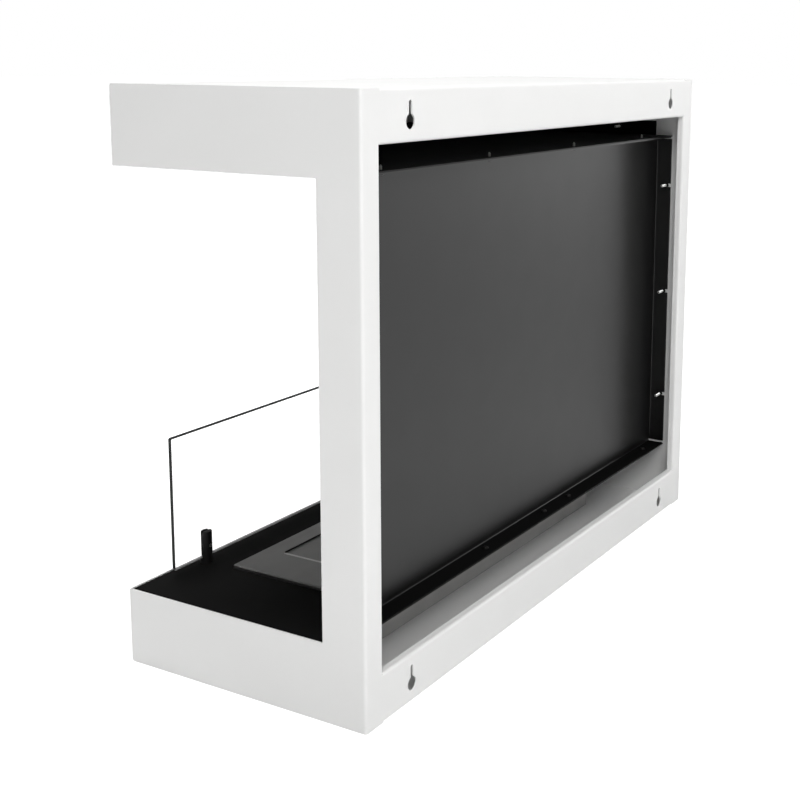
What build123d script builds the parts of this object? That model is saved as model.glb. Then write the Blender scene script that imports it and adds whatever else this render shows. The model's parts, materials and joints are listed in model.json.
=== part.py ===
from build123d import *
import os

# Wall-mounted bioethanol fireplace, open at the front and at both ends.
# X runs along the wall, Y points into the wall and Z is up, in millimetres.
# The origin is the middle of the four keyholes, on the face that lies against the wall.

os.makedirs("parts", exist_ok=True)

# Overall size
width = 780
depth = 300
height = 600

# Casing: painted sheet, C-shaped from the side, with an open frame towards the wall.
# The deck lies level with the top of the base, and the tray with the front of the column.
casing_sheet = 1.5
casing_bend = 1.5
base_height = 80
hood_height = 80
column_depth = 50
rail_height = 50
stile_width = 28
lip_depth = 9

# Keyholes in the rear rails, a round hole with a slot above it
keyhole_radius = 7.25
keyhole_slot_width = 5
keyhole_rise = 17
keyhole_inset = 77.5
lower_keyhole_height = 19
upper_keyhole_drop = 31

# Black liners: ceiling and deck have flanges on three sides, the tray on all four
liner_sheet = 1.5
liner_bend = 1.5
ceiling_setback = 1
liner_flange = 21
liner_relief = 3.5
liner_flange_gap = 1
tray_depth = 23

# Burner, dropped into the deck from above
burner_end_gap = 97
burner_front_gap = 56
burner_rear_gap = 40
burner_sheet = 1.5
burner_bend = 1.2
burner_rim = 4
burner_corner = 2
flame_end_margin = 57
flame_front_margin = 24
flame_rear_margin = 40
flame_corner = 2
flame_edge = 0.3
tank_end_margin = 13
tank_side_margin = 4
tank_floor_gap = 7.3
tank_sheet = 1.2
tank_corner = 6
cutout_clearance = 1.5
slider_sheet = 1.5
slider_overlap = 5
slider_corner = 3
slider_clearance = 0.3
hook_hole_radius = 6
hook_hole_inset = 16
guide_sheet = 1.2
guide_ledge = 8
guide_end_gap = 1.3
vapour_gap = 22.8
wool_clearance = 2

# Glass pane and its posts
glass_thickness = 4
glass_height = 146
glass_lift = 6
glass_end_gap = 48
glass_front_gap = 14.5
glass_corner = 2
glass_edge = 0.4
post_radius = 6.8
post_height = 36
post_inset = 97
post_offset = 1.5
post_chamfer = 0.6
slot_clearance = 0.3
pad_thickness = 1
pad_length = 10
set_screw_radius = 2
set_screw_length = 6
set_screw_drop = 16
set_screw_socket = 1
set_screw_socket_depth = 2.5
post_screw_radius = 2
post_screw_grip = 3.6
post_screw_head_radius = 3.8
post_screw_head_height = 2.6

# Studs with nuts, and tapping screws; their round parts have flat sides, which keeps their facets few
fastener_sides = 12
stud_radius = 2
stud_length = 18
stud_chamfer = 0.4
stud_clearance = 0.5
nut_flats = 7
nut_height = 3.2
thread_clearance = 0.05
tray_stud_inset = 6.5
tray_stud_above_deck = 73
tray_stud_below_ceiling = 68
flange_stud_height = 12
flange_stud_end = 55
tapping_radius = 1.75
tapping_length = 8
tapping_tip = 3
tapping_point_radius = 0.3
tapping_head_radius = 3.4
tapping_head_top_radius = 2.4
tapping_head_height = 2.2
tapping_clearance = 0.1
top_screw_inset = 82
bottom_screw_inset = 49.5
bottom_screw_middle_spacing = 208
bottom_screw_extra_shift = 38

# Gap between a piece that lifts out and its seat, and how far a cut reaches past what it cuts
rest_gap = 0.3
overrun = 1

# Levels and planes that several pieces share
keyhole_spacing = width - 2 * keyhole_inset
keyhole_level = (height - lower_keyhole_height - upper_keyhole_drop) / 2
z_bottom = -keyhole_level - lower_keyhole_height
z_top = z_bottom + height
z_deck = z_bottom + base_height
z_hood = z_top - hood_height
z_ceiling = z_hood + ceiling_setback
z_low_lip = z_bottom + rail_height - casing_sheet
z_high_lip = z_top - rail_height + casing_sheet
x_outer = width / 2
x_inner = x_outer - casing_sheet
x_frame = x_outer - stile_width
y_front = -depth
y_inner = y_front + casing_sheet
y_tray = -column_depth
y_tray_rear = y_tray + tray_depth
y_flange_end = y_tray - liner_flange_gap
casing_outer_bend = casing_bend + casing_sheet
liner_outer_bend = liner_bend + liner_sheet

# Burner: its size follows the hearth, its levels go from the deck upwards
burner_length = width - 2 * burner_end_gap
burner_width = y_tray - burner_rear_gap - y_front - burner_front_gap
tank_length = burner_length - 2 * tank_end_margin
tank_width = burner_width - 2 * tank_side_margin
flame_length = burner_length - 2 * flame_end_margin
flame_width = burner_width - flame_front_margin - flame_rear_margin
z_burner = z_deck + rest_gap + burner_rim
z_burner_under = z_burner - burner_sheet
z_slider_top = z_burner_under - slider_clearance
z_slider = z_slider_top - slider_sheet
z_ledge_top = z_slider - slider_clearance
z_ledge = z_ledge_top - guide_sheet
z_tank = z_bottom + casing_sheet + tank_floor_gap
tank_depth = z_burner_under - z_tank
wool_height = tank_depth - tank_sheet - vapour_gap
burner_y = y_front + burner_front_gap + burner_width / 2
flame_y = y_front + burner_front_gap + flame_front_margin + flame_width / 2
slider_length = flame_length + 2 * slider_overlap
slider_width = flame_width + 2 * slider_overlap
y_tank_inside = burner_y + tank_width / 2 - tank_sheet

# Glass levels, and the places of the pane and its posts
z_glass = z_deck + glass_lift
z_slot = z_glass - rest_gap - pad_thickness
z_post_top = z_deck + post_height
z_set_screw = z_post_top - set_screw_drop
glass_y = y_front + glass_front_gap + glass_thickness / 2
glass_length = width - 2 * glass_end_gap
slot_width = glass_thickness + 2 * slot_clearance
post_x = x_outer - post_inset
post_y = glass_y + post_offset

# Places of studs and screws
tray_stud_y = y_tray_rear - tray_stud_inset
z_low_stud = z_deck + tray_stud_above_deck
z_high_stud = z_ceiling - tray_stud_below_ceiling
tray_stud_levels = [z_low_stud, (z_low_stud + z_high_stud) / 2, z_high_stud]
flange_stud_ys = [y_flange_end - flange_stud_end, y_inner + flange_stud_end]
flange_screw_y = (y_tray + liner_sheet + y_tray_rear) / 2
top_screw_outer = x_inner - top_screw_inset
top_screw_xs = [-top_screw_outer, -top_screw_outer / 3, top_screw_outer / 3, top_screw_outer]
bottom_screw_outer = x_inner - bottom_screw_inset
bottom_screw_inner = bottom_screw_middle_spacing / 2
bottom_screw_xs = [
    -bottom_screw_outer,
    -bottom_screw_inner,
    -bottom_screw_extra_shift,
    bottom_screw_inner,
    bottom_screw_outer,
]


def side_planes(ys, levels):
    """Planes on the inner faces of both side panels, facing into the fireplace."""
    return [
        Plane(origin=(end * x_inner, y, z), x_dir=(0, 1, 0), z_dir=(-end, 0, 0))
        for end in (-1, 1)
        for y in ys
        for z in levels
    ]


tray_stud_planes = side_planes([tray_stud_y], tray_stud_levels)
ceiling_stud_planes = side_planes(flange_stud_ys, [z_ceiling + flange_stud_height])
deck_stud_planes = side_planes(flange_stud_ys, [z_deck - flange_stud_height])


def folded_sheet(points, outer_bend, sheet, side):
    """Section of a folded sheet: its outer line through the points, and its thickness inside that."""
    with BuildSketch(mode=Mode.PRIVATE) as section:
        with BuildLine():
            outer = FilletPolyline(*points, radius=outer_bend)
            offset(outer, amount=sheet, side=side)
        make_face()
    return section.sketch


def keyholes(level):
    """Two keyholes side by side, whose round holes are at this level."""
    with BuildSketch(mode=Mode.PRIVATE) as holes:
        for x in (-keyhole_spacing / 2, keyhole_spacing / 2):
            with Locations((x, level)):
                Circle(keyhole_radius)
            with Locations((x, level + keyhole_rise / 2)):
                Rectangle(keyhole_slot_width, keyhole_rise)
            with Locations((x, level + keyhole_rise)):
                Circle(keyhole_slot_width / 2)
    return holes.sketch


def casing_half(z_panel, z_fascia, z_rail, side, level):
    """Lip, rear rail with keyholes, horizontal panel and fascia, folded from one sheet."""
    inward = 1 if z_rail > z_panel else -1
    outline = [(-lip_depth, z_rail), (0, z_rail), (0, z_panel), (y_front, z_panel), (y_front, z_fascia)]
    with BuildPart() as half:
        with BuildSketch(Plane.YZ):
            add(folded_sheet(outline, casing_outer_bend, casing_sheet, side))
        extrude(amount=x_inner, both=True)
        # Beyond the frame the panel butts against the side panel's stile and its bend
        x_cut = x_inner + overrun
        y_bend = -casing_outer_bend
        lip_height_cut = rail_height + overrun - casing_outer_bend
        corner_outline = [
            (x_frame, overrun),
            (x_frame, -casing_sheet),
            (x_inner - casing_bend, -casing_sheet),
            (x_inner, y_bend),
            (x_cut, y_bend),
            (x_cut, overrun),
        ]
        for end in (-1, 1):
            with BuildSketch(Plane.XY.offset(z_panel - inward * overrun)):
                with BuildLine():
                    Polyline([(end * x, y) for x, y in corner_outline], close=True)
                make_face()
            extrude(amount=inward * (rail_height + 2 * overrun), mode=Mode.SUBTRACT)
            with BuildSketch(Plane.XZ):
                lip_x = end * (x_frame + x_cut) / 2
                with Locations((lip_x, z_panel + inward * (casing_outer_bend + lip_height_cut / 2))):
                    Rectangle(x_cut - x_frame, lip_height_cut)
            extrude(amount=lip_depth + overrun, mode=Mode.SUBTRACT)
        with BuildSketch(Plane.XZ.offset(-overrun)):
            add(keyholes(level))
        extrude(amount=casing_sheet + 2 * overrun, mode=Mode.SUBTRACT)
    return half.part


def liner_pan(z_face, z_tips, side, stud_planes):
    """Plate with flanges at both ends and the front, and a narrow rear margin for the tray."""
    end_outline = [(-x_inner, z_tips), (-x_inner, z_face), (x_inner, z_face), (x_inner, z_tips)]
    y_relief = y_inner + liner_relief
    front_outline = [(y_inner, z_tips), (y_inner, z_face), (y_relief, z_face)]
    outward = 1 if z_tips > z_face else -1
    with BuildPart() as pan:
        with BuildSketch(Plane.XZ.offset(-y_flange_end)):
            add(folded_sheet(end_outline, liner_outer_bend, liner_sheet, side))
        extrude(amount=y_flange_end - y_relief)
        with BuildSketch(Plane.YZ):
            add(folded_sheet(front_outline, liner_outer_bend, liner_sheet, side))
        extrude(amount=x_inner - liner_relief, both=True)
        with BuildSketch(Plane.XY.offset(z_face)):
            with Locations((0, (y_flange_end + y_tray_rear) / 2)):
                Rectangle(2 * x_inner, y_tray_rear - y_flange_end)
        extrude(amount=outward * liner_sheet)
        with BuildSketch(*stud_planes):
            Circle(stud_radius + stud_clearance)
        extrude(amount=liner_sheet + overrun, mode=Mode.SUBTRACT)
    return pan.part


def stud():
    """Welded stud, standing on its welded end."""
    with BuildPart() as piece:
        with BuildSketch():
            RegularPolygon(stud_radius, fastener_sides)
        extrude(amount=stud_length)
        chamfer(edges().group_by(Axis.Z)[-1], stud_chamfer)
    return piece.part


def nut():
    """Hexagon nut, lying on one flange thickness."""
    with BuildPart() as piece:
        with BuildSketch(Plane.XY.offset(liner_sheet)):
            RegularPolygon(nut_flats / 2, 6, major_radius=False)
            RegularPolygon(stud_radius + thread_clearance, fastener_sides, mode=Mode.SUBTRACT)
        extrude(amount=nut_height)
    return piece.part


def tapping_screw():
    """Tapping screw with its head below the seat and its point upwards."""
    z_straight = tapping_length - tapping_tip
    with BuildPart() as piece:
        # Head, from its top to the seat
        with BuildSketch(Plane.XY.offset(-tapping_head_height)):
            RegularPolygon(tapping_head_top_radius, fastener_sides)
        with BuildSketch():
            RegularPolygon(tapping_head_radius, fastener_sides)
        loft()
        # Shank and its point
        with BuildSketch():
            RegularPolygon(tapping_radius, fastener_sides)
        extrude(amount=z_straight)
        with BuildSketch(Plane.XY.offset(z_straight)):
            RegularPolygon(tapping_radius, fastener_sides)
        with BuildSketch(Plane.XY.offset(tapping_length)):
            RegularPolygon(tapping_point_radius, fastener_sides)
        loft()
    return piece.part


# Casing
with BuildPart() as base_casing:
    add(casing_half(z_bottom, z_deck, z_bottom + rail_height, Side.RIGHT, -keyhole_level))

with BuildPart() as hood_casing:
    add(casing_half(z_top, z_hood, z_top - rail_height, Side.LEFT, keyhole_level))

with BuildPart() as side_panel_right:
    # Web and stile, as far as the stile is flat over the whole height
    stile_flat = x_frame + casing_outer_bend
    web_outline = [(x_outer, y_front), (x_outer, 0), (stile_flat, 0)]
    with BuildSketch(Plane.XY.offset(z_bottom)):
        add(folded_sheet(web_outline, casing_outer_bend, casing_sheet, Side.LEFT))
    extrude(amount=height)
    # Beside the rails the stile ends flat
    for z_low, z_high in ((z_bottom, z_low_lip), (z_high_lip, z_top)):
        with BuildSketch(Plane.XY.offset(z_low)):
            with Locations((x_frame, 0)):
                Rectangle(casing_outer_bend, casing_sheet, align=(Align.MIN, Align.MAX))
        extrude(amount=z_high - z_low)
    # Along the opening it turns into the return lip
    lip_outline = [(stile_flat + casing_bend, 0), (x_frame, 0), (x_frame, -lip_depth)]
    with BuildSketch(Plane.XY.offset(z_low_lip)):
        add(folded_sheet(lip_outline, casing_outer_bend, casing_sheet, Side.LEFT))
    extrude(amount=z_high_lip - z_low_lip)
    # Open end of the hearth
    opening_depth = depth - column_depth + overrun
    with BuildSketch(Plane.YZ.offset(x_inner - overrun)):
        with Locations((y_tray, (z_deck + z_hood) / 2)):
            Rectangle(opening_depth, z_hood - z_deck, align=(Align.MAX, Align.CENTER))
    extrude(amount=casing_sheet + 2 * overrun, mode=Mode.SUBTRACT)
    # The front corners follow the bends of hood and base
    front_edges = edges().filter_by(Axis.X).group_by(Axis.Y)[0].sort_by(Axis.Z)
    fillet([front_edges[0], front_edges[-1]], casing_outer_bend)

with BuildPart() as side_panel_left:
    add(side_panel_right.part)
    mirror(about=Plane.YZ, mode=Mode.REPLACE)

# Black liners
with BuildPart() as ceiling_plate:
    add(liner_pan(z_ceiling, z_ceiling + liner_flange, Side.LEFT, ceiling_stud_planes))
    with BuildSketch(Plane.XY.offset(z_ceiling - overrun)):
        with Locations(*[(x, flange_screw_y) for x in top_screw_xs]):
            RegularPolygon(tapping_radius + tapping_clearance, fastener_sides)
    extrude(amount=liner_sheet + 2 * overrun, mode=Mode.SUBTRACT)

with BuildPart() as deck_plate:
    add(liner_pan(z_deck, z_deck - liner_flange, Side.RIGHT, deck_stud_planes))
    with BuildSketch(Plane.XY.offset(z_deck + overrun)):
        with Locations(*[(x, flange_screw_y) for x in bottom_screw_xs]):
            RegularPolygon(tapping_radius + tapping_clearance, fastener_sides)
        with Locations((-post_x, post_y), (post_x, post_y)):
            Circle(post_screw_radius + stud_clearance)
        with Locations((0, burner_y)):
            cutout_radius = tank_corner + cutout_clearance
            RectangleRounded(tank_length + 2 * cutout_clearance, tank_width + 2 * cutout_clearance, cutout_radius)
    extrude(amount=-liner_sheet - 2 * overrun, mode=Mode.SUBTRACT)

with BuildPart() as back_panel:
    # Panel with its top and bottom flanges
    tray_outline = [(y_tray_rear, z_ceiling), (y_tray, z_ceiling), (y_tray, z_deck), (y_tray_rear, z_deck)]
    with BuildSketch(Plane.YZ):
        add(folded_sheet(tray_outline, liner_outer_bend, liner_sheet, Side.LEFT))
    extrude(amount=x_inner - liner_relief, both=True)
    # Side flanges, cut short at the corner reliefs
    x_relief = x_inner - liner_relief
    right_outline = [(x_relief, y_tray), (x_inner, y_tray), (x_inner, y_tray_rear)]
    left_outline = [(-x_inner, y_tray_rear), (-x_inner, y_tray), (-x_relief, y_tray)]
    with BuildSketch(Plane.XY.offset(z_deck + liner_relief)):
        add(folded_sheet(right_outline, liner_outer_bend, liner_sheet, Side.LEFT))
        add(folded_sheet(left_outline, liner_outer_bend, liner_sheet, Side.LEFT))
    extrude(amount=z_ceiling - z_deck - 2 * liner_relief)
    # Notches that slip over the studs, open towards the wall
    notch_radius = stud_radius + stud_clearance
    with BuildSketch(*tray_stud_planes):
        Circle(notch_radius)
        Rectangle(tray_stud_inset + overrun, 2 * notch_radius, align=(Align.MIN, Align.CENTER))
    extrude(amount=liner_sheet + overrun, mode=Mode.SUBTRACT)
    # Screw holes in the top and bottom flanges
    for xs, z_flange in ((top_screw_xs, z_ceiling - liner_sheet), (bottom_screw_xs, z_deck)):
        with BuildSketch(Plane.XY.offset(z_flange - overrun)):
            with Locations(*[(x, flange_screw_y) for x in xs]):
                RegularPolygon(tapping_radius + tapping_clearance, fastener_sides)
        extrude(amount=liner_sheet + 2 * overrun, mode=Mode.SUBTRACT)

# Fasteners of the liners
with BuildPart() as back_panel_studs:
    with Locations(*tray_stud_planes):
        add(stud())

with BuildPart() as back_panel_nuts:
    with Locations(*tray_stud_planes):
        add(nut())

with BuildPart() as ceiling_plate_studs:
    with Locations(*ceiling_stud_planes):
        add(stud())

with BuildPart() as ceiling_plate_nuts:
    with Locations(*ceiling_stud_planes):
        add(nut())

with BuildPart() as deck_plate_studs:
    with Locations(*deck_stud_planes):
        add(stud())

with BuildPart() as deck_plate_nuts:
    with Locations(*deck_stud_planes):
        add(nut())

with BuildPart() as back_panel_top_screws:
    with Locations(*[(x, flange_screw_y, z_ceiling - liner_sheet) for x in top_screw_xs]):
        add(tapping_screw())

with BuildPart() as back_panel_bottom_screws:
    seats = [
        Plane(origin=(x, flange_screw_y, z_deck + liner_sheet), x_dir=(1, 0, 0), z_dir=(0, 0, -1))
        for x in bottom_screw_xs
    ]
    with Locations(*seats):
        add(tapping_screw())

# Burner
with BuildPart() as burner_top_plate:
    with BuildSketch(Plane.XY.offset(z_burner - burner_rim)):
        with Locations((0, burner_y)):
            RectangleRounded(burner_length, burner_width, burner_corner)
    extrude(amount=burner_rim)
    fillet(faces().sort_by(Axis.Z)[-1].edges(), burner_bend)
    offset(amount=-burner_sheet, openings=faces().sort_by(Axis.Z)[0])
    with BuildSketch(Plane.XY.offset(z_burner + overrun)):
        with Locations((0, flame_y)):
            RectangleRounded(flame_length, flame_width, flame_corner)
    extrude(amount=-burner_sheet - 2 * overrun, mode=Mode.SUBTRACT)
    top_rim = faces().filter_by(Axis.Z).sort_by(Axis.Z)[-1].inner_wires()[0]
    chamfer(top_rim.edges(), flame_edge)

with BuildPart() as burner_tank:
    with BuildSketch(Plane.XY.offset(z_tank)):
        with Locations((0, burner_y)):
            RectangleRounded(tank_length, tank_width, tank_corner)
    extrude(amount=tank_depth)
    offset(amount=-tank_sheet, openings=faces().sort_by(Axis.Z)[-1])

with BuildPart() as burner_slider:
    with BuildSketch(Plane.XY.offset(z_slider)):
        with Locations((0, flame_y)):
            RectangleRounded(slider_length, slider_width, slider_corner)
        with Locations((0, flame_y - flame_width / 2 + hook_hole_inset)):
            Circle(hook_hole_radius, mode=Mode.SUBTRACT)
    extrude(amount=slider_sheet)

with BuildPart() as burner_guide_right:
    # Ledge below the slider's end, upright beside it, and a stop at each end
    x_ledge = slider_length / 2 - guide_ledge
    x_upright = slider_length / 2 + slider_clearance
    y_stop_front = flame_y - slider_width / 2 - slider_clearance
    y_stop_rear = y_tank_inside - guide_end_gap - guide_sheet
    guide_length = y_stop_rear - y_stop_front + 2 * guide_sheet
    guide_height = z_burner_under - z_ledge
    with BuildSketch(Plane.XY.offset(z_ledge)):
        with Locations((x_ledge, y_stop_front - guide_sheet)):
            Rectangle(x_upright + guide_sheet - x_ledge, guide_length, align=(Align.MIN, Align.MIN))
    extrude(amount=guide_height)
    with BuildSketch(Plane.XY.offset(z_ledge_top)):
        with Locations((x_ledge - overrun, y_stop_front)):
            Rectangle(x_upright - x_ledge + overrun, y_stop_rear - y_stop_front, align=(Align.MIN, Align.MIN))
    extrude(amount=guide_height, mode=Mode.SUBTRACT)

with BuildPart() as burner_guide_left:
    add(burner_guide_right.part)
    mirror(about=Plane.YZ, mode=Mode.REPLACE)

with BuildPart() as burner_wool:
    wool_margin = tank_sheet + wool_clearance
    with BuildSketch(Plane.XY.offset(z_tank + tank_sheet)):
        with Locations((0, burner_y)):
            RectangleRounded(tank_length - 2 * wool_margin, tank_width - 2 * wool_margin, tank_corner)
    extrude(amount=wool_height)

# Glass pane, with its long edges ground
with BuildPart() as glass_pane:
    with BuildSketch(Plane.XZ.offset(-glass_y - glass_thickness / 2)):
        with Locations((0, z_glass + glass_height / 2)):
            RectangleRounded(glass_length, glass_height, glass_corner)
    extrude(amount=glass_thickness)
    chamfer(faces().filter_by(Axis.Y).edges(), glass_edge)

with BuildPart() as glass_post_right:
    with BuildSketch(Plane.XY.offset(z_deck)):
        with Locations((post_x, post_y)):
            Circle(post_radius)
    extrude(amount=post_height)
    chamfer(edges().group_by(Axis.Z)[-1], post_chamfer)
    # Slot for the pane, open at the top
    with BuildSketch(Plane.XY.offset(z_slot)):
        with Locations((post_x, glass_y)):
            Rectangle(2 * post_radius + overrun, slot_width)
    extrude(amount=post_height, mode=Mode.SUBTRACT)
    # Threaded holes for the set screw, from the wall side, and for the screw below the deck
    with BuildSketch(Plane.XZ.offset(-glass_y)):
        with Locations((post_x, z_set_screw)):
            Circle(set_screw_radius + thread_clearance)
    extrude(amount=-2 * post_radius, mode=Mode.SUBTRACT)
    with BuildSketch(Plane.XY.offset(z_deck)):
        with Locations((post_x, post_y)):
            Circle(post_screw_radius + thread_clearance)
    extrude(amount=post_screw_grip + rest_gap, mode=Mode.SUBTRACT)

with BuildPart() as glass_post_left:
    add(glass_post_right.part)
    mirror(about=Plane.YZ, mode=Mode.REPLACE)

with BuildPart() as glass_pad_right:
    with BuildSketch(Plane.XY.offset(z_slot)):
        with Locations((post_x, glass_y)):
            Rectangle(pad_length, glass_thickness)
    extrude(amount=pad_thickness)

with BuildPart() as glass_pad_left:
    add(glass_pad_right.part)
    mirror(about=Plane.YZ, mode=Mode.REPLACE)

with BuildPart() as set_screw_right:
    y_screw_tip = glass_y + glass_thickness / 2 + rest_gap
    with BuildSketch(Plane.XZ.offset(-y_screw_tip)):
        with Locations((post_x, z_set_screw)):
            Circle(set_screw_radius)
    extrude(amount=-set_screw_length)
    with BuildSketch(Plane.XZ.offset(-y_screw_tip - set_screw_length)):
        with Locations((post_x, z_set_screw)):
            RegularPolygon(set_screw_socket, 6, major_radius=False)
    extrude(amount=set_screw_socket_depth, mode=Mode.SUBTRACT)

with BuildPart() as set_screw_left:
    add(set_screw_right.part)
    mirror(about=Plane.YZ, mode=Mode.REPLACE)

with BuildPart() as post_screws:
    places = [(-post_x, post_y), (post_x, post_y)]
    with BuildSketch(Plane.XY.offset(z_deck - liner_sheet)):
        with Locations(*places):
            RegularPolygon(post_screw_head_radius, fastener_sides)
    extrude(amount=-post_screw_head_height)
    with BuildSketch(Plane.XY.offset(z_deck - liner_sheet)):
        with Locations(*places):
            RegularPolygon(post_screw_radius, fastener_sides)
    extrude(amount=liner_sheet + post_screw_grip)

pieces = {
    "hood_casing": hood_casing,
    "base_casing": base_casing,
    "side_panel_left": side_panel_left,
    "side_panel_right": side_panel_right,
    "ceiling_plate": ceiling_plate,
    "deck_plate": deck_plate,
    "back_panel": back_panel,
    "back_panel_studs": back_panel_studs,
    "back_panel_nuts": back_panel_nuts,
    "back_panel_top_screws": back_panel_top_screws,
    "back_panel_bottom_screws": back_panel_bottom_screws,
    "ceiling_plate_studs": ceiling_plate_studs,
    "ceiling_plate_nuts": ceiling_plate_nuts,
    "deck_plate_studs": deck_plate_studs,
    "deck_plate_nuts": deck_plate_nuts,
    "burner_top_plate": burner_top_plate,
    "burner_tank": burner_tank,
    "burner_slider": burner_slider,
    "burner_guide_left": burner_guide_left,
    "burner_guide_right": burner_guide_right,
    "burner_wool": burner_wool,
    "glass_pane": glass_pane,
    "glass_post_left": glass_post_left,
    "glass_post_right": glass_post_right,
    "glass_pad_left": glass_pad_left,
    "glass_pad_right": glass_pad_right,
    "set_screw_left": set_screw_left,
    "set_screw_right": set_screw_right,
    "post_screws": post_screws,
}

for name, piece in pieces.items():
    piece.part.label = name
    export_step(piece.part, f"parts/{name}.step")
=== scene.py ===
import json
import math

import bmesh
import bpy
from mathutils import Matrix, Vector, noise


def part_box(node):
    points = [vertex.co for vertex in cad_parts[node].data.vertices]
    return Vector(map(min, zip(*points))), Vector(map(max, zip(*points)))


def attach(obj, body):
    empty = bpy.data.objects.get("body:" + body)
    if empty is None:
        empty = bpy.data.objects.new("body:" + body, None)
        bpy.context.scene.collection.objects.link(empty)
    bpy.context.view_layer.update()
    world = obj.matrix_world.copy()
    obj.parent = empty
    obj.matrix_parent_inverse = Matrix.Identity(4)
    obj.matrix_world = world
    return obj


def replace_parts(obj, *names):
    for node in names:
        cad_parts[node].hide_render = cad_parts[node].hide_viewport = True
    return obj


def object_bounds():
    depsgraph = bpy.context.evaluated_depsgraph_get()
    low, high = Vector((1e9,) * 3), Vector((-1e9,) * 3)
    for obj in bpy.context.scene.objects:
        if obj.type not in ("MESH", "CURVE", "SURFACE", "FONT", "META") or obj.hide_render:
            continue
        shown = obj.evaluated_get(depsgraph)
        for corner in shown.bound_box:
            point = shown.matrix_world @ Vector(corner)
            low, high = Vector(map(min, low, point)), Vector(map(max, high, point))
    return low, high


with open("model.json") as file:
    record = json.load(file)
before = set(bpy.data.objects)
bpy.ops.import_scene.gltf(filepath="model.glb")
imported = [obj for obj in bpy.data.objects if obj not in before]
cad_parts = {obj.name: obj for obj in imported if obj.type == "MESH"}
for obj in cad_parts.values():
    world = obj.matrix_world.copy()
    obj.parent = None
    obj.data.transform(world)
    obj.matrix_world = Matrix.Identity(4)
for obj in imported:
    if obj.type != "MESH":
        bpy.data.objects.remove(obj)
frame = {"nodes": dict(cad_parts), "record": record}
cad_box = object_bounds()

MM = 0.001
nodes = frame["nodes"]
scene = bpy.context.scene
scene.view_settings.view_transform = "Standard"


# Making materials. Patterns lie in object coordinates, and a noise's scale is given as lumps per millimetre.

def coat_colour(value):
    """Linear colour of an sRGB hex value."""
    channels = [int(value[i:i + 2], 16) / 255 for i in (1, 3, 5)]
    return tuple(c / 12.92 if c <= 0.04045 else ((c + 0.055) / 1.055) ** 2.4 for c in channels) + (1.0,)


def add_node(tree, kind, inputs=None, **settings):
    """A node with its settings. An input is a value, or an output that is linked to it."""
    node = tree.nodes.new(kind)
    for name, value in settings.items():
        setattr(node, name, value)
    for name, value in (inputs or {}).items():
        if isinstance(value, bpy.types.NodeSocket):
            tree.links.new(value, node.inputs[name])
        else:
            node.inputs[name].default_value = value
    return node


def new_material(name):
    """A material with an empty tree, and that tree."""
    material = bpy.data.materials.new(name)
    material.use_nodes = True
    material.node_tree.nodes.clear()
    return material, material.node_tree


# White polyester powder coat on steel sheet: an even satin white, whose faint orange peel only softens
# the gloss
def white_powder_coat():
    material, tree = new_material("white_powder_coat")
    place = add_node(tree, "ShaderNodeTexCoord").outputs["Object"]
    # Peel lumps of about 3 mm, and a drift of the tone over about 90 mm
    peel = add_node(tree, "ShaderNodeTexNoise", {
        "Vector": place, "Scale": 0.33 / MM, "Detail": 1.0,
    }).outputs["Fac"]
    drift = add_node(tree, "ShaderNodeTexNoise", {
        "Vector": place, "Scale": 0.011 / MM, "Detail": 1.0,
    }).outputs["Fac"]
    tone = add_node(tree, "ShaderNodeValToRGB", {"Fac": drift}).outputs["Color"]
    tone.node.color_ramp.elements[0].color = coat_colour("#f2f2f1")
    tone.node.color_ramp.elements[1].color = coat_colour("#f6f6f5")
    gloss = add_node(tree, "ShaderNodeMapRange", {"Value": peel, "To Min": 0.38, "To Max": 0.43}).outputs[0]
    waves = add_node(tree, "ShaderNodeBump", {
        "Height": peel, "Strength": 0.15, "Distance": 0.004 * MM,
    }).outputs["Normal"]
    coat = add_node(tree, "ShaderNodeBsdfPrincipled", {
        "Base Color": tone, "Roughness": gloss, "IOR": 1.5, "Normal": waves,
    })
    add_node(tree, "ShaderNodeOutputMaterial", {"Surface": coat.outputs[0]})
    return material


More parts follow.
